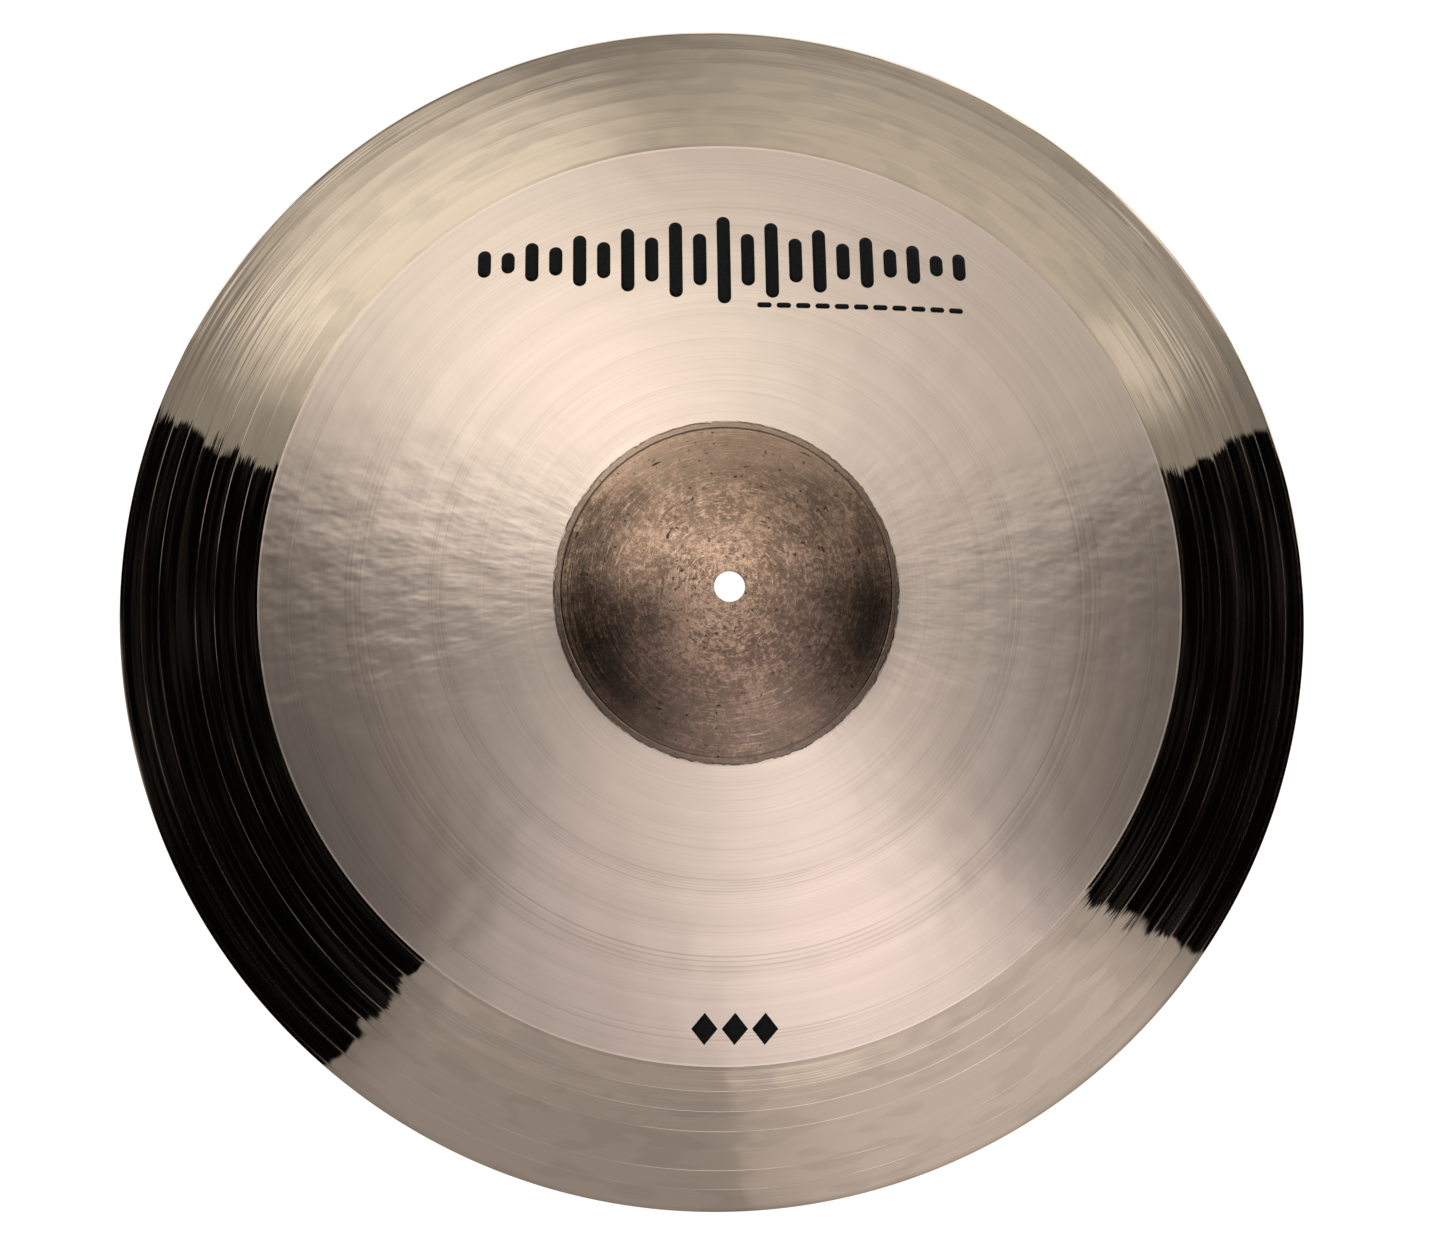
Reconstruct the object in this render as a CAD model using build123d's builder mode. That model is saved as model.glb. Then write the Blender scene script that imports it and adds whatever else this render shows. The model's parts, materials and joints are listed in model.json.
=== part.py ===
"""A large ride cymbal and the marks printed on it.

The cymbal is one piece of cast bronze: rolled to a disc, pressed and hammered to a bow with a
low bell in the middle, then turned on a lathe. It is a body of revolution about +Z, lying with
its rim on the plane z = 0, so the origin is the centre of the rim's lowest circle. The marks are
thin layers of ink on the bow's upper surface. All lengths are in millimetres.
"""
import os
from math import asin, cos, radians, sin

from build123d import *

# ---------------------------------------------------------------- the sheet of bronze
DIAMETER = 508.0
HOLE_DIAMETER = 12.0
THICKNESS_AT_HOLE = 1.75
THICKNESS_AT_RIM = 1.05
HOLE_EDGE_ROUND = 0.2

# ---------------------------------------------------------------- its shape
# The upper surface is a chain of arcs, tangent where they meet. Each stop is a radius, and the
# surface's slope there in degrees below level.
BELL_STEEPEST = (59.0, 15.5)
BELL_FOOT = (74.0, 2.5)
BOW_SHOULDER = (130.0, 6.0)
RIM_SLOPE = 22.5
BELL_TOP_SLOPE = 1.5

# ---------------------------------------------------------------- the lathe's grooves
# The raw bell ends in a scored line, and the satin bow ends in a wider turned step. Outside it
# is the polished band, with evenly spaced grooves that set the edge's tone.
SCORED_LINE = (65.4, 0.8, 0.15)
TURNED_STEP = (188.6, 1.4, 0.12)
TONE_GROOVE_FIRST = 197.8
TONE_GROOVE_PITCH = 8.8
TONE_GROOVE_COUNT = 6
TONE_GROOVE_WIDTH = 1.3
TONE_GROOVE_DEPTH = 0.10
# Each group of finer grooves in the satin bow is its middle radius, its pitch and its count.
BOW_GROOVE_GROUPS = [(115.4, 2.3, 3), (147.5, 4.0, 3), (176.0, 2.8, 2)]
BOW_GROOVE_WIDTH = 0.9
BOW_GROOVE_DEPTH = 0.08

# ---------------------------------------------------------------- the printed marks
INK_THICKNESS = 0.12
UPPER_MARK_CENTRE = 136.0
UPPER_MARK_BARS = 21
UPPER_MARK_PITCH = 9.65
BAR_WIDTH = 5.4
TALLEST_BAR = 38.0
SHORTEST_BAR = 12.0
SHORT_BAR_SHARE = 0.64
RULE_START = 13.0
RULE_LENGTH = 84.0
RULE_CENTRE = 116.5
RULE_DASHES = 11
RULE_DASH_WIDTH = 2.2
LOWER_MARK_CENTRE = (4.3, -172.8)
LOWER_MARK_PITCH = 12.2
DIAMOND_WIDTH = 10.6
DIAMOND_HEIGHT = 13.4

# ---------------------------------------------------------------- worked out from those
HOLE_RADIUS = HOLE_DIAMETER / 2
RIM_ROUND = THICKNESS_AT_RIM / 2
RIM_ROUND_CENTRE = DIAMETER / 2 - RIM_ROUND
RIM_EDGE = (RIM_ROUND_CENTRE + RIM_ROUND * sin(radians(RIM_SLOPE)), RIM_SLOPE)
RIM_EDGE_HEIGHT = RIM_ROUND * (1 + cos(radians(RIM_SLOPE)))
STOPS = [(HOLE_RADIUS, BELL_TOP_SLOPE), BELL_STEEPEST, BELL_FOOT, BOW_SHOULDER, RIM_EDGE]


def arc_between(inner, outer):
    """The radius of the arc that joins two stops: above zero for a dome, below it for a cove."""
    (inner_radius, inner_slope), (outer_radius, outer_slope) = inner, outer
    return (outer_radius - inner_radius) / (sin(radians(outer_slope)) - sin(radians(inner_slope)))


def surface(radius):
    """The upper surface's height and slope, in radians, at a radius."""
    height = RIM_EDGE_HEIGHT
    for inner, outer in reversed(list(zip(STOPS, STOPS[1:]))):
        arc = arc_between(inner, outer)
        reach = max(radius, inner[0])
        slope = asin(sin(radians(inner[1])) + (reach - inner[0]) / arc)
        height += arc * (cos(slope) - cos(radians(outer[1])))
        if radius >= inner[0]:
            break
    return height, slope


def thickness(radius):
    """The sheet's thickness, which falls evenly from the hole to the rim."""
    share = (radius - HOLE_RADIUS) / (RIM_EDGE[0] - HOLE_RADIUS)
    return THICKNESS_AT_HOLE + share * (THICKNESS_AT_RIM - THICKNESS_AT_HOLE)


def under_surface(radius, depth):
    """The point that lies a depth below the upper surface, square to it."""
    height, slope = surface(radius)
    return (radius - depth * sin(slope), height - depth * cos(slope))


def surface_arc(start, end, depth_at, groove=0.0):
    """An arc that follows the upper surface at the depth given, or sinks into it by a groove."""
    middle = (start + end) / 2
    through = under_surface(middle, depth_at(middle) + groove)
    ThreePointArc(under_surface(start, depth_at(start)), through, under_surface(end, depth_at(end)))


def on_top(radius):
    """The depth of the upper surface itself."""
    return 0.0


def top_of_ink(radius):
    """The depth of the ink's upper face, which lies above the bronze."""
    return -INK_THICKNESS


def skin(inner, outer, depth_at):
    """The arcs at one depth from one radius to another, broken at the stops between them."""
    radii = [inner] + [stop[0] for stop in STOPS if inner < stop[0] < outer] + [outer]
    for start, end in zip(radii, radii[1:]):
        surface_arc(start, end, depth_at)


def grooves():
    """Every groove as its middle radius, its width and its depth, from the hole outwards."""
    turned = [SCORED_LINE, TURNED_STEP]
    for middle, pitch, count in BOW_GROOVE_GROUPS:
        first = middle - pitch * (count - 1) / 2
        turned += [(first + i * pitch, BOW_GROOVE_WIDTH, BOW_GROOVE_DEPTH) for i in range(count)]
    for i in range(TONE_GROOVE_COUNT):
        radius = TONE_GROOVE_FIRST + i * TONE_GROOVE_PITCH
        turned.append((radius, TONE_GROOVE_WIDTH, TONE_GROOVE_DEPTH))
    return sorted(turned)


# ---------------------------------------------------------------- the cymbal
top_of_hole = under_surface(HOLE_RADIUS, HOLE_EDGE_ROUND)
foot_of_hole = under_surface(HOLE_RADIUS, THICKNESS_AT_HOLE - HOLE_EDGE_ROUND)
top_start = HOLE_RADIUS + HOLE_EDGE_ROUND
rim_top = under_surface(RIM_EDGE[0], 0.0)
rim_foot = under_surface(RIM_EDGE[0], THICKNESS_AT_RIM)
rim_out = (
    RIM_ROUND_CENTRE + RIM_ROUND * cos(radians(RIM_SLOPE)),
    RIM_ROUND - RIM_ROUND * sin(radians(RIM_SLOPE)),
)

with BuildPart() as cymbal:
    with BuildSketch(Plane.XZ) as wall:
        with BuildLine():
            Line((HOLE_RADIUS, foot_of_hole[1]), (HOLE_RADIUS, top_of_hole[1]))
            Line((HOLE_RADIUS, top_of_hole[1]), under_surface(top_start, 0.0))
            reached = top_start
            for middle, width, depth in grooves():
                skin(reached, middle - width / 2, on_top)
                surface_arc(middle - width / 2, middle + width / 2, on_top, depth)
                reached = middle + width / 2
            skin(reached, RIM_EDGE[0], on_top)
            ThreePointArc(rim_top, rim_out, rim_foot)
            skin(top_start, RIM_EDGE[0], thickness)
            Line(under_surface(top_start, thickness(top_start)), (HOLE_RADIUS, foot_of_hole[1]))
        make_face()
    revolve(axis=Axis.Z)
cymbal.part.label = "cymbal"


# ---------------------------------------------------------------- the printed marks
# The layer that ink can lie in, over the whole of the bow. Each mark is cut out of it.
with BuildPart() as ink_layer:
    with BuildSketch(Plane.XZ):
        with BuildLine():
            skin(BELL_FOOT[0], TURNED_STEP[0], on_top)
            Line(under_surface(TURNED_STEP[0], 0.0), under_surface(TURNED_STEP[0], -INK_THICKNESS))
            skin(BELL_FOOT[0], TURNED_STEP[0], top_of_ink)
            Line(under_surface(BELL_FOOT[0], 0.0), under_surface(BELL_FOOT[0], -INK_THICKNESS))
        make_face()
    revolve(axis=Axis.Z)


def bar_height(step):
    """Bars fall away from the middle of the mark, and every second one is shorter."""
    furthest = UPPER_MARK_BARS // 2
    height = TALLEST_BAR - (TALLEST_BAR - SHORTEST_BAR) * abs(step) / furthest
    return height if step % 2 == 0 else height * SHORT_BAR_SHARE


above_cymbal = surface(HOLE_RADIUS)[0]
half_bars = UPPER_MARK_BARS // 2
dash_pitch = RULE_LENGTH / (RULE_DASHES - 0.25)
dash_length = 0.75 * dash_pitch

# A row of upright bars that rises and falls, across the top of the bow.
with BuildPart() as upper_ink_mark:
    with BuildSketch():
        for step in range(-half_bars, half_bars + 1):
            with Locations((step * UPPER_MARK_PITCH, UPPER_MARK_CENTRE)):
                SlotOverall(bar_height(step), BAR_WIDTH, rotation=90)
    extrude(amount=above_cymbal)
    add(ink_layer.part, mode=Mode.INTERSECT)
upper_ink_mark.part.label = "upper_ink_mark"

# A fine row of dashes below the right-hand half of the bars.
with BuildPart() as ink_rule_line:
    with BuildSketch():
        for i in range(RULE_DASHES):
            with Locations((RULE_START + dash_length / 2 + i * dash_pitch, RULE_CENTRE)):
                SlotOverall(dash_length, RULE_DASH_WIDTH)
    extrude(amount=above_cymbal)
    add(ink_layer.part, mode=Mode.INTERSECT)
ink_rule_line.part.label = "ink_rule_line"

# Three diamonds at the bottom of the bow.
with BuildPart() as lower_ink_mark:
    with BuildSketch():
        for step in (-1, 0, 1):
            with Locations((LOWER_MARK_CENTRE[0] + step * LOWER_MARK_PITCH, LOWER_MARK_CENTRE[1])):
                Polygon(
                    (DIAMOND_WIDTH / 2, 0),
                    (0, DIAMOND_HEIGHT / 2),
                    (-DIAMOND_WIDTH / 2, 0),
                    (0, -DIAMOND_HEIGHT / 2),
                )
    extrude(amount=above_cymbal)
    add(ink_layer.part, mode=Mode.INTERSECT)
lower_ink_mark.part.label = "lower_ink_mark"

# ---------------------------------------------------------------- one file for each piece
os.makedirs("parts", exist_ok=True)
export_step(cymbal.part, "parts/cymbal.step")
export_step(upper_ink_mark.part, "parts/upper_ink_mark.step")
export_step(ink_rule_line.part, "parts/ink_rule_line.step")
export_step(lower_ink_mark.part, "parts/lower_ink_mark.step")
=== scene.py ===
"""The looks of a large ride cymbal: raw bell, satin lathed bow, polished outer band, printed marks.

Lengths are in metres. The bronze is spun from the same chain of arcs as the solid that it
stands for, then hammered. The ink is laid on the hammered surface.
"""

import json
from bisect import bisect_left
from math import asin, cos, hypot, pi, radians, sin, tau

import bmesh
import bpy
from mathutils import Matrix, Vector, noise


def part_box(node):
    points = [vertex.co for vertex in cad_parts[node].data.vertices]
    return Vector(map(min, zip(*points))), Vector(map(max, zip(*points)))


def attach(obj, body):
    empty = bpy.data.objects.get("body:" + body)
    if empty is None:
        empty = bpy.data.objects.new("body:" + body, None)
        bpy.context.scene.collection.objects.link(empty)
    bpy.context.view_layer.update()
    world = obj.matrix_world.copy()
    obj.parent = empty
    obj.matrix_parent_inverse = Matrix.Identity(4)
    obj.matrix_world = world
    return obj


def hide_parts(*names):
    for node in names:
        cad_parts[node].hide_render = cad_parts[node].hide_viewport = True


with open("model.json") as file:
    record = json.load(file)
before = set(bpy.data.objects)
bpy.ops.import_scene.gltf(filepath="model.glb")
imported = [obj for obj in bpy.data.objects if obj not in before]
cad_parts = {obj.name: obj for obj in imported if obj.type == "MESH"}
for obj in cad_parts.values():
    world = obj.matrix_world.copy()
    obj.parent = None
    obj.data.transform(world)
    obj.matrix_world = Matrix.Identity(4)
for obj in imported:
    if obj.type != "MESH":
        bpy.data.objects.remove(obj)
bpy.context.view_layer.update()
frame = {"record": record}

MM = 0.001

# ---------------------------------------------------------------- sizes, from the frame
bronze_low, bronze_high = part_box("cymbal")
CENTRE_HOLE = next(m for m in frame["record"]["mounts"] if m["name"] == "centre_hole")
RIM_RADIUS = (bronze_high[0] - bronze_low[0]) / 2
HOLE_RADIUS = CENTRE_HOLE["dims"]["r_mm"] * MM

# ---------------------------------------------------------------- the sheet's shape
THICKNESS_AT_HOLE = 1.75 * MM
THICKNESS_AT_RIM = 1.05 * MM
HOLE_EDGE_ROUND = 0.2 * MM
RIM_SLOPE = 22.5
RIM_ROUND = THICKNESS_AT_RIM / 2
RIM_EDGE_RADIUS = RIM_RADIUS - RIM_ROUND + RIM_ROUND * sin(radians(RIM_SLOPE))
# Each stop is a radius and the upper surface's slope there, in degrees below level.
STOPS = [
    (HOLE_RADIUS, 1.5),
    (59 * MM, 15.5),
    (74 * MM, 2.5),
    (130 * MM, 6.0),
    (RIM_EDGE_RADIUS, RIM_SLOPE),
]

# ---------------------------------------------------------------- what the lathe left
# A cut is the widths of a groove's inner and outer walls, and its depth.
SCORED_LINE = 65.4 * MM
SCORED_CUT = (0.5 * MM, 0.4 * MM, 0.12 * MM)
# The raw bell ends in a small drop: how deep it is, how wide, and how far out it fades away.
RAW_EDGE = 68.1 * MM
RAW_EDGE_DROP = 0.12 * MM
RAW_EDGE_WIDTH = 0.25 * MM
RAW_EDGE_FADE = 12 * MM
# The satin ends in a lip: distances from the turned step, and depths. It stands proud there.
TURNED_STEP = 188.6 * MM
LIP = [(-0.75 * MM, 0.0), (0.0, -0.13 * MM), (1.6 * MM, 0.0)]
BAND_PITCH = 8.8 * MM
# Each groove of the band, outwards from the step: its depth, some nearly polished away.
BAND_GROOVES = [0.028 * MM, 0.034 * MM, 0.034 * MM, 0.012 * MM, 0.036 * MM, 0.034 * MM]
BAND_GROOVE_WALLS = (0.35 * MM, 0.09 * MM)
# The polished bands are hollow: this many times as deep as a straight side would be.
SCALLOP = 2.0
# The hammer fell closest in a belt across the bow: its middle in Y, and its reach each way.
BEATEN_MIDDLE = -2 * MM
BEATEN_REACH = 85 * MM
# Each group of fine grooves in the bow: its middle and its pitch in millimetres, and how many.
BOW_GROOVE_GROUPS = [(115.4, 2.3, 3), (147.5, 4.0, 3), (176.0, 2.8, 2)]
BOW_CUT = (0.4 * MM, 0.4 * MM, 0.012 * MM)
# Even rings fill the stretches between all these, above and below.
RING_SPACING = 2.4 * MM
RING_GAP = 0.3 * MM
UNDER_RING_SPACING = 5.0 * MM
SEGMENTS = 448
# Where the tool left a corner sharper than this, the sheet isn't shaded smooth across it.
TOOL_CORNER = radians(2.5)
# How near a corner's radius must be to a groove's lowest radius to lie on its floor.
GROOVE_FLOOR_REACH = 0.005 * MM


def surface(radius):
    """The upper surface's height and slope, in radians, at a radius."""
    height = RIM_ROUND * (1 + cos(radians(RIM_SLOPE)))
    for (inner, inner_slope), (outer, outer_slope) in reversed(list(zip(STOPS, STOPS[1:]))):
        arc = (outer - inner) / (sin(radians(outer_slope)) - sin(radians(inner_slope)))
        reach = max(radius, inner)
        slope = asin(sin(radians(inner_slope)) + (reach - inner) / arc)
        height += arc * (cos(slope) - cos(radians(outer_slope)))
        if radius >= inner:
            break
    return height, slope


def below_surface(radius, depth):
    """The point that lies a depth below the upper surface, square to it, as x and z."""
    height, slope = surface(radius)
    return radius - depth * sin(slope), height - depth * cos(slope)


def thickness(radius):
    """The sheet thins evenly from the hole to the rim."""
    share = (radius - HOLE_RADIUS) / (RIM_EDGE_RADIUS - HOLE_RADIUS)
    return THICKNESS_AT_HOLE + share * (THICKNESS_AT_RIM - THICKNESS_AT_HOLE)


def grooves():
    """Every turned groove: its deepest radius, the widths of its two walls, and its depth."""
    cut = [(SCORED_LINE, *SCORED_CUT)]
    for middle, pitch, count in BOW_GROOVE_GROUPS:
        for i in range(count):
            radius = (middle + pitch * (i - (count - 1) / 2)) * MM
            cut.append((radius, *BOW_CUT))
    for radius, depth in zip(band_edges()[1:-1], BAND_GROOVES):
        cut.append((radius, *BAND_GROOVE_WALLS, depth))
    return sorted(cut)


def band_edges():
    """Where one polished band ends and the next begins, from the step to the rim."""
    start = TURNED_STEP + LIP[-1][0]
    return [start + i * BAND_PITCH for i in range(len(BAND_GROOVES) + 1)] + [RIM_EDGE_RADIUS]


def raw_edge_depth(radius):
    """The lathe cut the bow a little below the raw bell, and the cut fades outwards."""
    if not RAW_EDGE < radius < RAW_EDGE + RAW_EDGE_FADE:
        return 0.0
    return RAW_EDGE_DROP * (1 - (radius - RAW_EDGE) / RAW_EDGE_FADE)


def scallop_depth(radius):
    """How far a polished band's hollow lies below the curved surface."""
    edges = band_edges()
    for inner, outer in zip(edges, edges[1:]):
        if inner < radius < outer:
            high, low = surface(inner)[0], surface(outer)[0]
            straight = high + (low - high) * (radius - inner) / (outer - inner)
            return (surface(radius)[0] - straight) * cos(surface(radius)[1]) * SCALLOP
    return 0.0


def top_rings():
    """The radii and depths of the rings of the upper surface, from the hole to the rim."""
    rings = [(HOLE_RADIUS + HOLE_EDGE_ROUND, 0.0), (RAW_EDGE, 0.0), (RIM_EDGE_RADIUS, 0.0)]
    cut_edge = RAW_EDGE + RAW_EDGE_WIDTH
    rings.append((cut_edge, raw_edge_depth(cut_edge)))
    # No even ring falls this close to a ring that has its own place.
    taken = [(RAW_EDGE - RING_GAP, RAW_EDGE + RING_GAP)]
    for lowest, inner_wall, outer_wall, depth in grooves():
        rings += [(lowest - inner_wall, 0.0), (lowest, depth), (lowest + outer_wall, 0.0)]
        taken.append((lowest - 2 * inner_wall, lowest + 2 * outer_wall))
    for offset, depth in LIP:
        rings.append((TURNED_STEP + offset, depth))
    taken.append((TURNED_STEP + 2 * LIP[0][0], TURNED_STEP + 2 * LIP[-1][0]))
    steps = int((RIM_EDGE_RADIUS - HOLE_RADIUS) / RING_SPACING)
    for i in range(1, steps):
        radius = HOLE_RADIUS + i * (RIM_EDGE_RADIUS - HOLE_RADIUS) / steps
        if not any(low < radius < high for low, high in taken):
            rings.append((radius, raw_edge_depth(radius) + scallop_depth(radius)))
    return sorted(rings)


def wall_outline():
    """The section of the sheet as x and z points: over the top, round the rim, back under."""
    hole_top = surface(HOLE_RADIUS)[0] - HOLE_EDGE_ROUND
    hole_foot = surface(HOLE_RADIUS)[0] - THICKNESS_AT_HOLE + HOLE_EDGE_ROUND
    points = [(HOLE_RADIUS, hole_top)]
    points += [below_surface(radius, depth) for radius, depth in top_rings()]
    rim_steps = 8
    rim_centre = RIM_RADIUS - RIM_ROUND
    for i in range(1, rim_steps):
        angle = radians(90 - RIM_SLOPE) - pi * i / rim_steps
        points.append((rim_centre + RIM_ROUND * cos(angle), RIM_ROUND + RIM_ROUND * sin(angle)))
    start = HOLE_RADIUS + HOLE_EDGE_ROUND
    steps = int((RIM_EDGE_RADIUS - HOLE_RADIUS) / UNDER_RING_SPACING)
    for i in range(steps, -1, -1):
        radius = start + i * (RIM_EDGE_RADIUS - start) / steps
        points.append(below_surface(radius, thickness(radius)))
    points.append((HOLE_RADIUS, hole_foot))
    return points


# ---------------------------------------------------------------- hammering
# Each kind of mark: how wide it is, and how deep. The blows are shallower on the bell.
BROAD_WAVES = (34 * MM, 0.10 * MM)
BLOWS = (12 * MM, 0.085 * MM)
BELL_BLOWS_DEPTH = 0.035 * MM


def fade(value, low, high):
    """A smooth step from 0 at low to 1 at high."""
    share = min(1.0, max(0.0, (value - low) / (high - low)))
    return share * share * (3 - 2 * share)


def hammered(x, y):
    """How far the hammer raised or sank the sheet at a place."""
    radius = hypot(x, y)
    place = Vector((x, y, 0.0))
    waves = noise.noise(place / BROAD_WAVES[0] + Vector((3.1, 7.7, 0)))
    blows = noise.noise(place / BLOWS[0] + Vector((11.3, 2.9, 4.2)))
    held = fade(radius, HOLE_RADIUS + 4 * MM, 30 * MM)
    held *= 1 - fade(radius, RIM_RADIUS - 9 * MM, RIM_RADIUS - 2 * MM)
    on_bell = 1 - fade(radius, 60 * MM, 80 * MM)
    blows_depth = BLOWS[1] + (BELL_BLOWS_DEPTH - BLOWS[1]) * on_bell
    return held * (BROAD_WAVES[1] * waves + blows_depth * blows)


def polished_away(x, y, depth):
    """How far the buffing has filled a groove: least in the west, most in northern patches."""
    patch = noise.noise(Vector((x, y, depth * 100)) / (38 * MM) + Vector((5.5, 1.2, 0)))
    west = fade(-x, 20 * MM, 180 * MM)
    north = fade(y, 80 * MM, 200 * MM)
    return depth * (0.3 + 0.3 * north - 0.25 * west + 0.35 * fade(patch, -0.15, 0.4))


# ---------------------------------------------------------------- materials
class Number:
    """A number in a material. An operator on it adds a Math node."""

    def __init__(self, finish, socket):
        self.finish = finish
        self.socket = socket

    def math(self, operation, *values):
        """Add a Math node. The values are its inputs in order, so self may be any of them."""
        return self.finish.number("Math", {"operation": operation}, dict(enumerate(values)))

    def __add__(self, other):
        return self.math("ADD", self, other)

    def __sub__(self, other):
        return self.math("SUBTRACT", self, other)

    def __rsub__(self, other):
        return self.math("SUBTRACT", other, self)

    def __mul__(self, other):
        return self.math("MULTIPLY", self, other)

    def __truediv__(self, other):
        return self.math("DIVIDE", self, other)

    def __pow__(self, other):
        return self.math("POWER", self, other)

    __radd__ = __add__
    __rmul__ = __mul__

    def size(self):
        """The number without its sign."""
        return self.math("ABSOLUTE", self)

    def fraction(self):
        """What is left over a whole number."""
        return self.math("FRACT", self)

    def step(self, low, high):
        """0 below low, 1 above high, smooth between. High may be under low."""
        settings = {"interpolation_type": "SMOOTHSTEP"}
        return self.finish.number("MapRange", settings, {0: self, 1: low, 2: high, 3: 0.0, 4: 1.0})


class Finish:
    """The nodes of one material, or of the world."""

    def __init__(self, holder):
        self.holder = holder
        holder.use_nodes = True
        self.tree = holder.node_tree
        self.tree.nodes.clear()

    def node(self, kind, settings=None, sockets=None):
        """Add a node, set it up, then fill its sockets with values or links."""
        made = self.tree.nodes.new("ShaderNode" + kind)
        for name, value in (settings or {}).items():
            if name == "stops":
                self.fill_ramp(made.color_ramp, value)
            else:
                setattr(made, name, value)
        for name, value in (sockets or {}).items():
            if isinstance(value, Number):
                value = value.socket
            if isinstance(value, bpy.types.NodeSocket):
                self.tree.links.new(value, made.inputs[name])
            else:
                made.inputs[name].default_value = value
        return made

    def fill_ramp(self, ramp, stops):
        """Give a ramp its grey levels."""
        while len(ramp.elements) < len(stops):
            ramp.elements.new(1.0)
        for element, (place, level) in zip(ramp.elements, stops):
            element.position = place
            element.color = (level, level, level, 1.0)

    def number(self, kind, settings=None, sockets=None, output=0):
        """Add a node whose output is a number."""
        return Number(self, self.node(kind, settings, sockets).outputs[output])

    def separate(self, vector):
        """A vector's three numbers."""
        parts = self.node("SeparateXYZ", {}, {0: vector})
        return [Number(self, parts.outputs[i]) for i in range(3)]

    def place(self):
        """Where a point is, as x, y and its radius."""
        x, y, _ = self.separate(self.node("TexCoord").outputs["Object"])
        return x, y, (x * x + y * y) ** 0.5

    def noise(self, vector, scale, detail=2.0, rough=0.5, swirl=0.0):
        """Noise, mostly 0.3 to 0.7. The scale is its features to each unit of the vector."""
        sockets = {
            "Vector": vector, "Scale": scale, "Detail": detail, "Roughness": rough,
            "Distortion": swirl,
        }
        return self.number("TexNoise", {}, sockets)

    def ring_noise(self, radius, size, detail=1.0):
        """Noise that changes with the radius alone, in features of about the size given."""
        sockets = {"W": radius / size, "Scale": 1.0, "Detail": detail}
        return self.number("TexNoise", {"noise_dimensions": "1D"}, sockets)

    def around(self, x, y, radius, along, out):
        """A vector for noise stretched round the axis: along at 150 mm radius, out across it."""
        turns = 150 * MM / along
        return self.node("CombineXYZ", {}, {
            0: x / radius * turns, 1: y / radius * turns, 2: radius / out,
        }).outputs[0]

    def blend(self, share, first, second):
        """A colour between two others."""
        return self.node("Mix", {"data_type": "RGBA"}, {0: share, 6: first, 7: second}).outputs[2]

    def bump(self, height):
        """The normals of a relief, whose height is in metres."""
        return self.node("Bump", {}, {"Height": height, "Distance": 1.0}).outputs[0]

    def metal(self, colour, roughness, normal, anisotropic=0.0, rotation=0.0):
        """A bare metal, brushed if it is anisotropic."""
        return self.node("BsdfPrincipled", {}, {
            "Base Color": colour,
            "Metallic": 1.0,
            "Roughness": roughness,
            "Anisotropic": anisotropic,
            "Anisotropic Rotation": rotation,
            "Normal": normal,
        }).outputs[0]

    def close(self, shader):
        """Give the material its shader, and return the material."""
        self.node("OutputMaterial", {}, {"Surface": shader})
        return self.holder


# The brush marks' turn, as a share of a full one, that lays them round the axis.
BRUSHED_AROUND = 0.25


def rgb(red, green, blue):
    """An opaque colour."""
    return (red, green, blue, 1.0)


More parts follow.
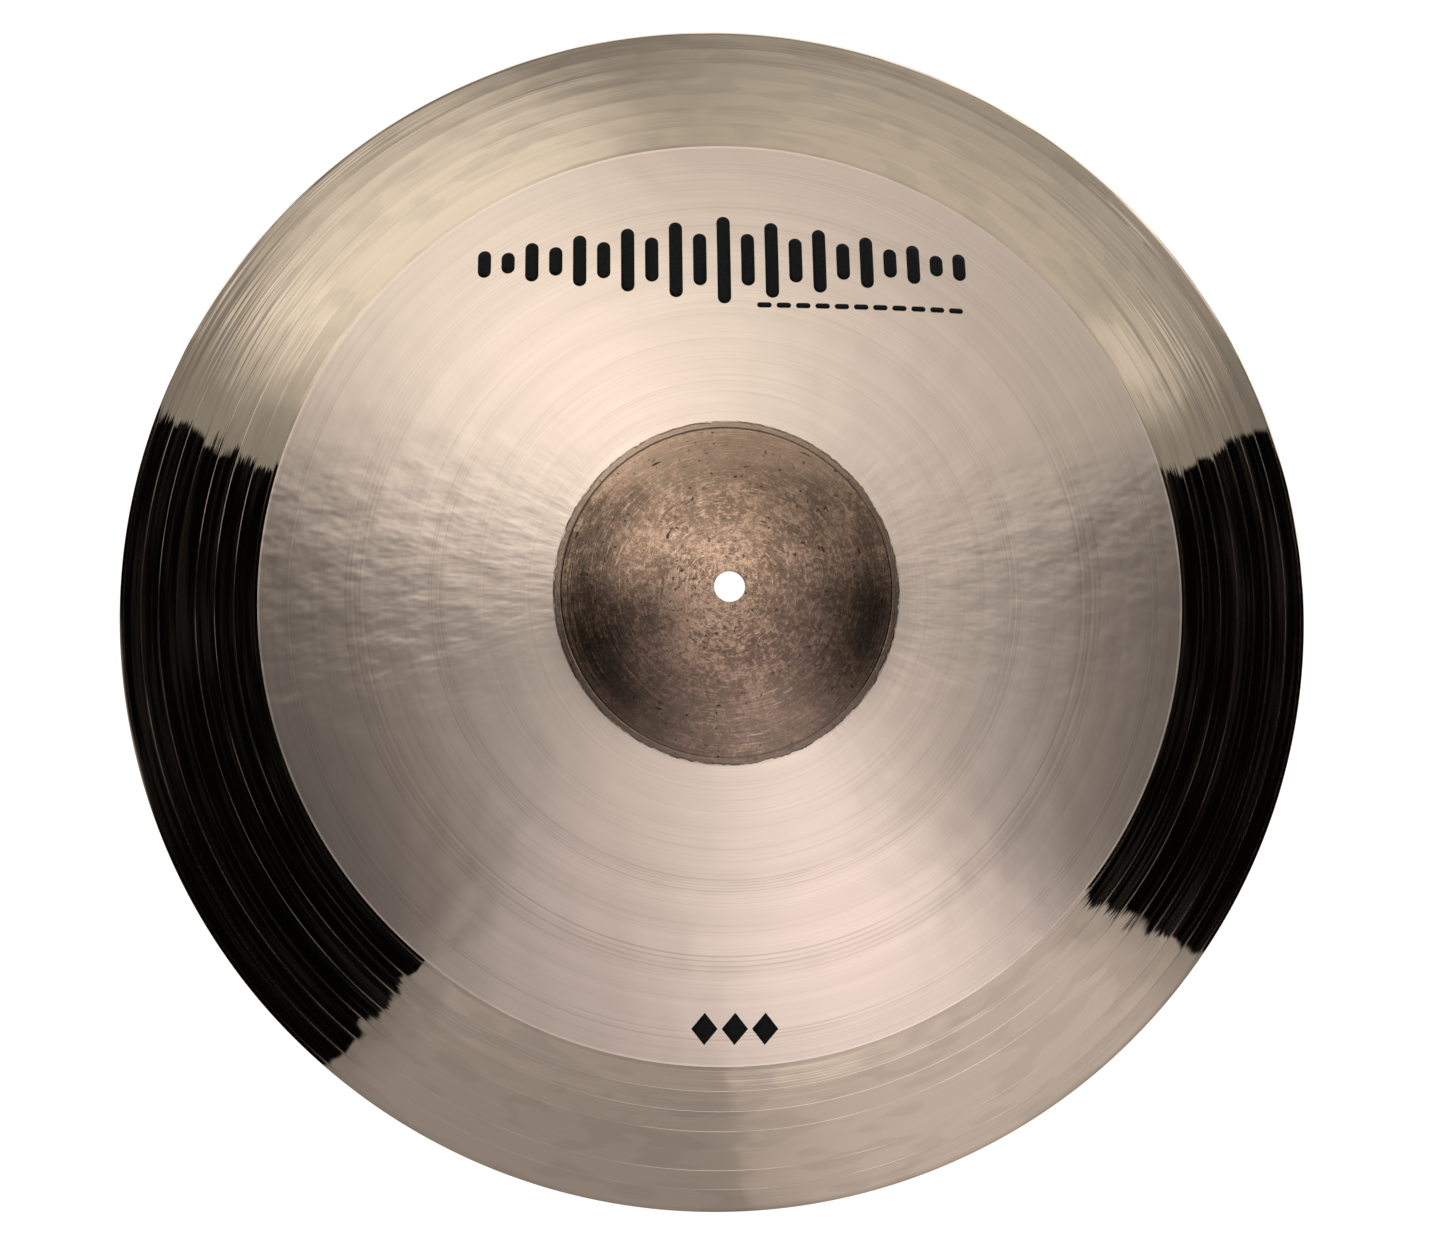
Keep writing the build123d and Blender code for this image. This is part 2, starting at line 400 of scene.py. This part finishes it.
def raw_bronze(finish, x, y, radius, edge):
    """The bell as cast and pressed: brown oxide, pitted, scratched and mottled.

    It is rubbed bright beside the hole. Painted shade darkens its south skirt and its east and
    west flanks, a little painted shade lies north of the hole, and a painted highlight lightens
    its north skirt. A painted shadow lies in the groove round its foot, darkest to the north.
    """
    spot = finish.node("TexCoord").outputs["Object"]
    cloud = finish.noise(spot, 80, 4, 0.7)
    peel = finish.noise(spot, 470, 6, 0.8, 0.4)
    brushed = finish.noise(finish.around(x, y, radius, 22 * MM, 0.8 * MM), 1.0, 4, 0.75, 0.4)
    lathe = finish.noise(finish.around(x, y, radius, 150 * MM, 0.8 * MM), 1.0, 3, 0.7)
    pits = finish.noise(spot, 420, 3, 0.6)
    gouges = finish.noise(finish.around(x, y, radius, 30 * MM, 2.2 * MM), 1.0, 1, 0.5, 0.6)
    from_worn_spot = ((x + 10 * MM) ** 2 + (y + 4 * MM) ** 2) ** 0.5
    worn = from_worn_spot.step(27 * MM, 4 * MM) * 0.05
    skirt = radius.step(34 * MM, 50 * MM)
    wander = (cloud - 0.5) * (14 * MM)
    north = y + wander
    tone = finish.blend(cloud.step(0.36, 0.64), rgb(0.20, 0.132, 0.095), rgb(0.31, 0.203, 0.147))
    bare = (peel + worn + (cloud - 0.5) * 0.3 - skirt * 0.02).step(0.47, 0.59)
    tone = finish.blend(bare * 0.85, tone, rgb(0.60, 0.395, 0.28))
    tone = finish.blend((brushed + worn).step(0.57, 0.66) * 0.75, tone, rgb(0.80, 0.56, 0.41))
    tone = finish.blend(brushed.step(0.44, 0.30) * 0.8, tone, rgb(0.085, 0.06, 0.048))
    tone = finish.blend(lathe.step(0.49, 0.36) * skirt * 0.65, tone, rgb(0.11, 0.08, 0.062))
    # Painted shade by compass direction, as the room's light falls: darker on the south skirt, and
    # a little darker north of the hole.
    tone = finish.blend(north.step(-22 * MM, -48 * MM) * 0.58, tone, rgb(0.15, 0.11, 0.085))
    tone = finish.blend(north.step(8 * MM, 26 * MM) * 0.22, tone, rgb(0.20, 0.135, 0.10))
    # Painted shade on the bell's east and west flanks.
    painted_side_shade = (x.size() + wander).step(8 * MM, 28 * MM) * north.step(18 * MM, -8 * MM)
    tone = finish.blend(painted_side_shade * 0.40, tone, rgb(0.15, 0.105, 0.08))
    # A painted highlight on the north skirt, where the room's light falls.
    tone = finish.blend(north.step(32 * MM, 56 * MM) * 0.55, tone, rgb(0.66, 0.45, 0.32))
    tone = finish.blend(pits.step(0.37, 0.30) * 0.85, tone, rgb(0.04, 0.03, 0.026))
    tone = finish.blend(gouges.step(0.265, 0.245) * 0.9, tone, rgb(0.03, 0.024, 0.022))
    # A painted shadow in the groove round the bell's foot, strongest towards the north.
    painted_groove_shadow = (radius + (pits - 0.5) * (0.5 * MM) - SCORED_LINE).size().step(0.5 * MM, 0.25 * MM)
    painted_groove_shadow = painted_groove_shadow * (y.step(-50 * MM, 30 * MM) * 0.6 + 0.2)
    tone = finish.blend(painted_groove_shadow, tone, rgb(0.06, 0.045, 0.038))
    collar = radius.step(SCORED_LINE + 0.2 * MM, SCORED_LINE + 0.6 * MM)
    tone = finish.blend(collar * 0.45, tone, rgb(0.25, 0.195, 0.155))
    # Darker in patches along the inside of the ragged raw edge.
    darkened_inside_raw_edge = edge.step(RAW_EDGE - 0.9 * MM, RAW_EDGE - 0.3 * MM) * cloud.step(0.44, 0.56)
    tone = finish.blend(darkened_inside_raw_edge * 0.75, tone, rgb(0.07, 0.052, 0.044))
    height = (peel - 0.5) * (0.03 * MM) + (brushed - 0.5) * (0.02 * MM)
    height = height + (lathe - 0.5) * (0.06 * MM) * skirt
    roughness = 0.20 + peel * 0.10
    return finish.metal(tone, roughness, finish.bump(height))


def satin_bronze(finish, x, y, radius):
    """The bow as the lathe left it: fine concentric lines over the hammer marks."""
    spot = finish.node("TexCoord").outputs["Object"]
    fine = finish.noise(finish.around(x, y, radius, 300 * MM, 0.7 * MM), 1.0, 2, 0.6)
    coarse = finish.ring_noise(radius, 9 * MM, 3)
    dents = finish.noise(spot, 62, 2, 0.5)
    ripple = finish.noise(finish.around(x, y, radius, 9 * MM, 15 * MM), 1.0, 2, 0.5)
    drag = finish.noise(finish.around(x, y, radius, 50 * MM, 1.1 * MM), 1.0, 2, 0.5)
    tone = finish.blend(coarse.step(0.3, 0.7), rgb(0.86, 0.705, 0.60), rgb(0.91, 0.75, 0.64))
    tone = finish.blend(drag.step(0.35, 0.7) * 0.16, tone, rgb(0.80, 0.65, 0.545))
    tone = finish.blend(fine.step(0.47, 0.30) * 0.25, tone, rgb(0.55, 0.44, 0.365))
    for middle, pitch, count in BOW_GROOVE_GROUPS:
        # Two lines to a pitch: one on each groove, and one between.
        across = (radius / MM - middle) / pitch * 2 + (count - 1) % 2
        line = ((across + 0.5).fraction() - 0.5).size().step(0.22, 0.08)
        reach = pitch * count / 2
        line = line * radius.step((middle - reach) * MM, (middle - reach + 0.4) * MM)
        line = line * radius.step((middle + reach) * MM, (middle + reach - 0.4) * MM)
        line = line * drag.step(0.3, 0.6) * (y.step(110 * MM, 20 * MM) * 0.26 + 0.06)
        tone = finish.blend(line, tone, rgb(0.42, 0.33, 0.27))
    height = (fine - 0.5) * (0.008 * MM) + (coarse - 0.5) * (0.012 * MM)
    height = height + (dents - 0.5) * (0.10 * MM)
    beaten = (y - BEATEN_MIDDLE).size().step(BEATEN_REACH, 0.4 * BEATEN_REACH)
    height = height + (ripple - 0.5) * radius * (beaten * 0.0020 + 0.0002)
    roughness = 0.33 + (drag - 0.5) * 0.06
    return finish.metal(tone, roughness, finish.bump(height), 0.86, BRUSHED_AROUND)


def polished_bronze(finish, x, y, radius):
    """The outer band: buffed to a mirror, so it shows each lathe band and hammer blow."""
    streaks = finish.noise(finish.around(x, y, radius, 60 * MM, 1.7 * MM), 1.0, 2, 0.55)
    blows = finish.noise(finish.around(x, y, radius, 18 * MM, 8 * MM), 1.0, 1, 0.5)
    smear = finish.noise(finish.around(x, y, radius, 60 * MM, 2 * MM), 1.0, 2, 0.5)
    marked = finish.noise(finish.around(x, y, radius, 45 * MM, 14 * MM), 1.0, 2, 0.5)
    tone = finish.blend(smear, rgb(0.82, 0.67, 0.525), rgb(0.88, 0.72, 0.57))
    tone = finish.blend(blows.step(0.50, 0.40) * 0.55, tone, rgb(0.72, 0.595, 0.475))
    # The lathe chattered in the north-east and the north-west.
    chatter = x.size().step(110 * MM, 190 * MM) * y.step(30 * MM, 90 * MM)
    streak_depth = marked.step(0.33, 0.62) * (chatter * 1.6 + 1.0) * (0.085 * MM)
    height = (streaks - 0.5) * streak_depth + (blows - 0.5) * (0.10 * MM)
    normal = finish.bump(height)
    across = (radius - band_edges()[0]) / BAND_PITCH
    groove = ((across + 0.5).fraction() - 0.5).size()
    in_groove = groove.step(0.45 * MM / BAND_PITCH, 0.25 * MM / BAND_PITCH)
    roughness = 0.012 + smear * 0.03 + in_groove * 0.13
    mirror = finish.metal(tone, roughness, normal, 0.3, BRUSHED_AROUND)
    haze = finish.metal(tone, 0.45, normal, 0.7, BRUSHED_AROUND)
    scuffed = (streaks + marked * 0.5).step(0.70, 1.0) * 0.035
    both = finish.node("MixShader", {}, {0: scuffed, 1: mirror, 2: haze})
    return both.outputs[0]


def new_finish(name):
    return Finish(bpy.data.materials.new(name))


def bow_material():
    """Satin bow and raw bell in one, with the ragged edge that the lathe left between them."""
    finish = new_finish("satin_bow_and_raw_bell")
    x, y, radius = finish.place()
    ragged = finish.noise(finish.around(x, y, radius, 14 * MM, 900 * MM), 1.0, 5, 0.7)
    edge = radius + (ragged - 0.5) * (2.6 * MM)
    is_satin = edge.step(RAW_EDGE - 0.1 * MM, RAW_EDGE + 0.1 * MM)
    both = finish.node("MixShader", {}, {
        0: is_satin,
        1: raw_bronze(finish, x, y, radius, edge),
        2: satin_bronze(finish, x, y, radius),
    })
    return finish.close(both.outputs[0])


def band_material():
    finish = new_finish("polished_band")
    return finish.close(polished_bronze(finish, *finish.place()))


def ink_material():
    finish = new_finish("black_printing_ink")
    _, _, radius = finish.place()
    spot = finish.node("TexCoord").outputs["Object"]
    wear = finish.noise(spot, 900, 2, 0.5)
    lines = finish.ring_noise(radius, 0.8 * MM, 2)
    tone = finish.blend(wear.step(0.45, 0.75), rgb(0.006, 0.006, 0.007), rgb(0.016, 0.014, 0.014))
    ink = finish.node("BsdfPrincipled", {}, {
        "Base Color": tone,
        "Roughness": 0.42 + wear * 0.15,
        "Specular IOR Level": 0.1,
        "Normal": finish.bump((lines - 0.5) * (0.004 * MM)),
    })
    return finish.close(ink.outputs[0])


# ---------------------------------------------------------------- pieces
def finished(name, shape, materials):
    """Make an object of a bmesh, with its materials in slot order."""
    mesh = bpy.data.meshes.new(name)
    shape.to_mesh(mesh)
    shape.free()
    for material in materials:
        mesh.materials.append(material)
    mesh.polygons.foreach_set("use_smooth", [True] * len(mesh.polygons))
    piece = bpy.data.objects.new(name, mesh)
    bpy.context.scene.collection.objects.link(piece)
    return piece


def make_bronze():
    """Spin the section round the axis, hammer it, and give the outer band its own finish."""
    shape = bmesh.new()
    corners = [shape.verts.new((x, 0.0, z)) for x, z in wall_outline()]
    edges = [shape.edges.new(pair) for pair in zip(corners, corners[1:] + corners[:1])]
    bmesh.ops.spin(
        shape, geom=corners + edges, cent=(0, 0, 0), axis=(0, 0, 1),
        dvec=(0, 0, 0), angle=tau, steps=SEGMENTS, use_merge=True,
    )
    bmesh.ops.recalc_face_normals(shape, faces=shape.faces)
    for face in shape.faces:
        middle = face.calc_center_median()
        outside = hypot(middle.x, middle.y) > TURNED_STEP
        face.material_index = 1 if outside and face.normal.z > 0 else 0
    for edge in shape.edges:
        inside_rim = edge.verts[0].co.xy.length < RIM_EDGE_RADIUS
        edge.smooth = not (inside_rim and edge.calc_face_angle() > TOOL_CORNER)
    cuts = [(lowest, depth) for lowest, _, _, depth in grooves()]
    floors = [below_surface(*cut)[0] for cut in cuts]
    for corner in shape.verts:
        x, y = corner.co.xy
        radius = hypot(x, y)
        nearest = bisect_left(floors, radius - GROOVE_FLOOR_REACH)
        on_floor = nearest < len(floors) and abs(radius - floors[nearest]) < GROOVE_FLOOR_REACH
        if on_floor and radius > TURNED_STEP and corner.normal.z > 0:
            corner.co.z += polished_away(x, y, cuts[nearest][1])
        corner.co.z += hammered(x, y)
    piece = finished("bronze_sheet", shape, [bow_material(), band_material()])
    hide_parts("cymbal")
    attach(piece, "root")


# ---------------------------------------------------------------- printed marks
# The ink stands proud of the bronze by its lift, and its depth is its whole thickness. It has
# an edge at every step, so that it bends with the bronze.
INK_LIFT = 0.05 * MM
INK_DEPTH = 0.10 * MM
INK_STEP = 2.5 * MM


def rounded_bar(centre, length, width, upright):
    """The outline of a bar with round ends."""
    ends = 10
    points = []
    for side in (1, -1):
        for i in range(ends + 1):
            angle = pi * i / ends if side > 0 else pi + pi * i / ends
            across = width / 2 * cos(angle)
            along = side * (length - width) / 2 + width / 2 * sin(angle)
            points.append((across, along) if upright else (along, -across))
    return [(centre[0] + x, centre[1] + y) for x, y in points]


def print_mark(name, outlines, material):
    """Lay closed outlines on the bow as one thin printed piece."""
    shape = bmesh.new()
    for outline in outlines:
        shape.faces.new([shape.verts.new((x, y, 0.0)) for x, y in outline])
    bmesh.ops.recalc_face_normals(shape, faces=shape.faces)
    lows = [min(v.co[i] for v in shape.verts) for i in (0, 1)]
    highs = [max(v.co[i] for v in shape.verts) for i in (0, 1)]
    for axis, normal in ((0, (1, 0, 0)), (1, (0, 1, 0))):
        cut = lows[axis] + INK_STEP
        while cut < highs[axis]:
            place = [0.0, 0.0, 0.0]
            place[axis] = cut
            geometry = shape.verts[:] + shape.edges[:] + shape.faces[:]
            bmesh.ops.bisect_plane(shape, geom=geometry, plane_co=place, plane_no=normal)
            cut += INK_STEP
    for face in shape.faces:
        if face.normal.z < 0:
            face.normal_flip()
    printed = bmesh.ops.extrude_face_region(shape, geom=shape.faces[:], use_keep_orig=True)["geom"]
    upper = {item for item in printed if isinstance(item, bmesh.types.BMVert)}
    for corner in shape.verts:
        height = surface(corner.co.xy.length)[0] + hammered(*corner.co.xy)
        corner.co.z = height + (INK_LIFT if corner in upper else INK_LIFT - INK_DEPTH)
    bmesh.ops.recalc_face_normals(shape, faces=shape.faces)
    return finished(name, shape, [material])


# ---------------------------------------------------------------- room
FLOOR_REACH = 6.0
FLOOR_GAP = 0.02 * MM
FLOOR_GLOW = 0.97


def make_floor():
    """A pale light table, so that what shows through the hole is as white as the rest."""
    shape = bmesh.new()
    bmesh.ops.create_grid(shape, x_segments=1, y_segments=1, size=FLOOR_REACH)
    bmesh.ops.translate(shape, verts=shape.verts, vec=(0, 0, -FLOOR_GAP))
    finish = new_finish("pale_floor")
    table = finish.node("BsdfPrincipled", {}, {
        "Base Color": rgb(0.3, 0.3, 0.3),
        "Roughness": 0.9,
        "Specular IOR Level": 0.0,
        "Emission Color": rgb(1, 1, 1),
        "Emission Strength": FLOOR_GLOW,
    })
    floor = finished("floor", shape, [finish.close(table.outputs[0])])


# The room, as angles in degrees. A compass direction is anticlockwise from +X, and a tilt is
# measured down from overhead. Two curved walls are lit, and the room is dark between them.
NORTH_WALL = (27.0, 146.6)
SOUTH_WALL = (-135.0, -21.0)
WALL_EDGE = 0.7
# A wall is dimmer towards its edges. It falls to this share of its level, from as far off as
# the next two pairs say: first the reach from its start, then the reach from its end.
DIM_SHARE = 0.72
NORTH_DIMMINGS = (12.0, 28.0)
SOUTH_DIMMINGS = (9.0, 9.0)
NORTH_LEVEL = 0.40
SOUTH_LEVEL = 0.31
# The south wall is brighter east of its seam.
SOUTH_SEAM = (-80.0, -77.5)
SOUTH_EAST_RISE = 0.09
# Soft lamps on the walls: compass direction, tilt, half width, brightness.
LAMPS = [
    (114.0, 62.0, 26.0, 0.53),
    (95.0, 26.0, 24.0, 0.84),
    (62.0, 73.0, 32.0, 0.20),
    (133.0, 64.0, 8.0, 0.28),
    (38.0, 66.0, 7.0, 0.24),
    (-44.0, 58.0, 34.0, 0.20),
    (-48.0, 24.0, 24.0, 0.47),
]
# How bright the walls are at each tilt, beside their level at 62 degrees.
DOWN = [(0, 0.7), (12, 1.5), (24, 1.9), (36, 1.28), (48, 0.99), (62, 1.0), (80, 0.72), (90, 0.4)]
# A ramp holds 0 to 1, so the stops above are stored as a share of this.
BRIGHTEST = 4
# The walls begin this far from overhead.
WALL_TOPS = (radians(12), radians(31))
# The lamp overhead leans east and lights the dark sides too, and one stands low in the west.
FREE_LAMPS = [(-12.0, 9.0, 31.0, 0.70), (180.0, 90.0, 19.0, 0.45)]
DARK_ROOM = 0.0012
NORTH_TINT = rgb(1.0, 0.995, 0.94)
SOUTH_TINT = rgb(1.0, 0.97, 0.99)


def lit_wall(turn, wall, level, dimmings):
    """A wall's brightness by compass direction, dimmer towards its two edges."""
    start, end = (radians(angle) for angle in wall)
    edge, from_start, from_end = (radians(angle) for angle in (WALL_EDGE, *dimmings))
    inside = turn.step(start, start + edge) * turn.step(end, end - edge)
    full = turn.step(start, start + from_start) * turn.step(end, end - from_end)
    return inside * (DIM_SHARE + full * (1 - DIM_SHARE)) * level


def lamp_glow(finish, direction, bearing, tilt, half_width):
    """1 where a lamp stands, falling to 0 at its half width."""
    flat = sin(radians(tilt))
    lamp = (flat * cos(radians(bearing)), flat * sin(radians(bearing)), cos(radians(tilt)))
    settings = {"operation": "DOT_PRODUCT"}
    near = finish.number("VectorMath", settings, {0: direction, 1: lamp}, "Value")
    return near.step(cos(radians(half_width)), 1.0)


def make_room():
    """Light the walls and lamps of the room. The camera itself sees only white."""
    world = bpy.data.worlds.new("room")
    bpy.context.scene.world = world
    finish = Finish(world)
    direction = finish.node("TexCoord").outputs["Generated"]
    x, y, z = finish.separate(direction)
    turn = finish.number("Math", {"operation": "ARCTAN2"}, {0: y, 1: x})
    tilt = finish.number("Math", {"operation": "ARCCOSINE"}, {0: z})
    down = finish.number(
        "ValToRGB",
        {"stops": [(angle / 90, level / BRIGHTEST) for angle, level in DOWN]},
        {0: tilt / (pi / 2)},
    )
    rise = turn.step(*(radians(angle) for angle in SOUTH_SEAM)) * SOUTH_EAST_RISE
    in_north = y.step(-0.001, 0.001)
    level = NORTH_LEVEL * in_north + (rise + SOUTH_LEVEL) * (1 - in_north)
    for bearing, lamp_tilt, half_width, brightness in LAMPS:
        level = level + lamp_glow(finish, direction, bearing, lamp_tilt, half_width) * brightness
    walls = lit_wall(turn, NORTH_WALL, level, NORTH_DIMMINGS)
    walls = walls + lit_wall(turn, SOUTH_WALL, level, SOUTH_DIMMINGS)
    walls = walls * down * BRIGHTEST * tilt.step(*WALL_TOPS)
    light = walls + DARK_ROOM
    for *lamp, brightness in FREE_LAMPS:
        light = light + lamp_glow(finish, direction, *lamp) * brightness
    tint = finish.blend(y.step(0.0, 0.5), SOUTH_TINT, NORTH_TINT)
    seen = finish.number("LightPath", {}, {}, "Is Camera Ray")
    sky = finish.node("Background", {}, {
        "Color": finish.blend(seen, tint, rgb(1, 1, 1)),
        "Strength": seen + (1 - seen) * light,
    })
    finish.node("OutputWorld", {}, {"Surface": sky.outputs[0]})


# Where the camera stands: its direction from the axis, its distance from it, and its height.
CAMERA_BEARING = radians(-116.5)
CAMERA_OFFSET = 118.1 * MM
CAMERA_HEIGHT = 444.7 * MM
CAMERA_TILT = radians(1.5)
CAMERA_LENS = 26
CAMERA_SHIFT = (0.0815, 0.1487)


def make_camera():
    """Above the cymbal and to one side of its axis, looking almost straight down."""
    bearing = Vector((cos(CAMERA_BEARING), sin(CAMERA_BEARING), 0.0))
    view = -bearing * sin(CAMERA_TILT) - Vector((0, 0, cos(CAMERA_TILT)))
    lens = bpy.data.cameras.new("camera")
    lens.lens = CAMERA_LENS
    lens.shift_x, lens.shift_y = CAMERA_SHIFT
    lens.clip_start = 0.01
    camera = bpy.data.objects.new("camera", lens)
    camera.location = bearing * CAMERA_OFFSET + Vector((0, 0, CAMERA_HEIGHT))
    camera.rotation_mode = "QUATERNION"
    camera.rotation_quaternion = Vector((0, 0, -1)).rotation_difference(view)
    bpy.context.scene.collection.objects.link(camera)
    bpy.context.scene.camera = camera


# ---------------------------------------------------------------- the marks' layout
UPPER_MARK_CENTRE = 136.0 * MM
UPPER_MARK_PITCH = 9.65 * MM
BAR_WIDTH = 5.4 * MM
TALLEST_BAR = 38.0 * MM
SHORTEST_BAR = 12.0 * MM
HALF_BARS = 10
SHORT_BAR_SHARE = 0.64
RULE_START = 13.0 * MM
RULE_LENGTH = 84.0 * MM
RULE_CENTRE = 116.5 * MM
DASHES = 11
DASH_WIDTH = 2.2 * MM
# How much of its pitch a dash fills.
DASH_SHARE = 0.75
RULE_PITCH = RULE_LENGTH / (DASHES - 1 + DASH_SHARE)
LOWER_MARK = (4.3 * MM, -172.8 * MM)
DIAMOND_PITCH = 12.2 * MM
DIAMOND_HALF = (5.3 * MM, 6.7 * MM)


def upper_bars():
    """Upright bars that fall away from the middle, every second one shorter."""
    outlines = []
    for step in range(-HALF_BARS, HALF_BARS + 1):
        height = TALLEST_BAR - (TALLEST_BAR - SHORTEST_BAR) * abs(step) / HALF_BARS
        height *= 1 if step % 2 == 0 else SHORT_BAR_SHARE
        centre = (step * UPPER_MARK_PITCH, UPPER_MARK_CENTRE)
        outlines.append(rounded_bar(centre, height, BAR_WIDTH, True))
    return outlines


def rule_dashes():
    """A fine row of dashes."""
    length = DASH_SHARE * RULE_PITCH
    first = RULE_START + length / 2
    return [
        rounded_bar((first + i * RULE_PITCH, RULE_CENTRE), length, DASH_WIDTH, False)
        for i in range(DASHES)
    ]


def diamonds():
    """Three diamonds in a row."""
    across, up = DIAMOND_HALF
    corners = [(across, 0), (0, up), (-across, 0), (0, -up)]
    return [
        [(LOWER_MARK[0] + step * DIAMOND_PITCH + x, LOWER_MARK[1] + y) for x, y in corners]
        for step in (-1, 0, 1)
    ]


def make_marks():
    """Print the three marks."""
    ink = ink_material()
    marks = (
        ("upper_bars", upper_bars(), "upper_ink_mark"),
        ("rule_dashes", rule_dashes(), "ink_rule_line"),
        ("lower_diamonds", diamonds(), "lower_ink_mark"),
    )
    for name, outlines, node in marks:
        piece = print_mark(name, outlines, ink)
        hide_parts(node)
        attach(piece, "root")


bpy.context.scene.view_settings.view_transform = "Standard"
make_camera()
make_bronze()
make_marks()
make_floor()
make_room()
